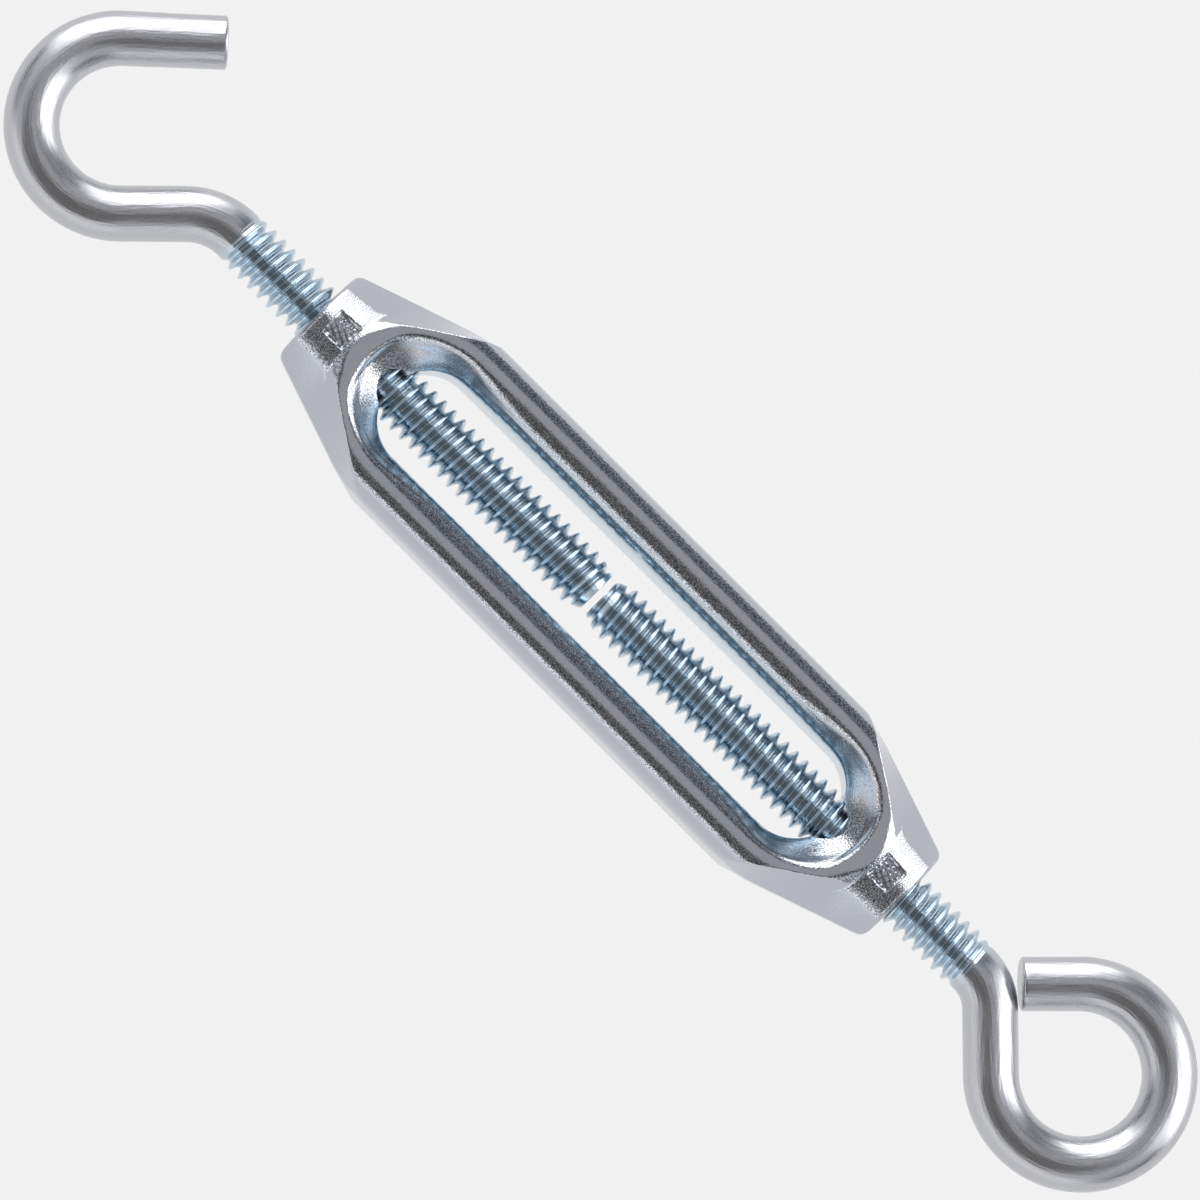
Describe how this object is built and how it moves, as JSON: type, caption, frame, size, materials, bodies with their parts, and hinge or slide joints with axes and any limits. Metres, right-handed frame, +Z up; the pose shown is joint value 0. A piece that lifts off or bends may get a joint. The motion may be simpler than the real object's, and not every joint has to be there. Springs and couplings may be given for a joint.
{
  "type": "rigging turnbuckle",
  "caption": "Hook-and-eye rigging turnbuckle: oblong cast body with an open window, threaded hook bolt and eye bolt that draw in and out together.",
  "frame": {"origin": "bottom centre of the bounding box, with the turnbuckle lying flat as in use on a bench", "axes": "+X along the thread axis from the hook to the eye, +Z up through the flat of the body, +Y to the side that the hook opens on"},
  "size_m": [0.1246, 0.0214, 0.0082],
  "materials": {
    "cast_body": "zinc-plated casting, fine orange-peel grain",
    "bolt_wire": "bright blue-white zinc plate, smooth wire and rolled thread"
  },
  "bodies": {
    "body": {"turnbuckle_body": "cast_body"},
    "hook": {"hook_bolt": "bolt_wire"},
    "eye": {"eye_bolt": "bolt_wire"}
  },
  "joints": [
    {"name": "hook_slide", "type": "slide", "parent": "body", "child": "hook", "axis": [-1, 0, 0], "range_m": [-0.0002, 0.024]},
    {"name": "eye_slide", "type": "slide", "parent": "body", "child": "eye", "axis": [1, 0, 0], "range_m": [-0.0002, 0.024]}
  ],
  "couplings": [
    {"joint": "eye_slide", "follows": "hook_slide", "ratio": 1}
  ]
}
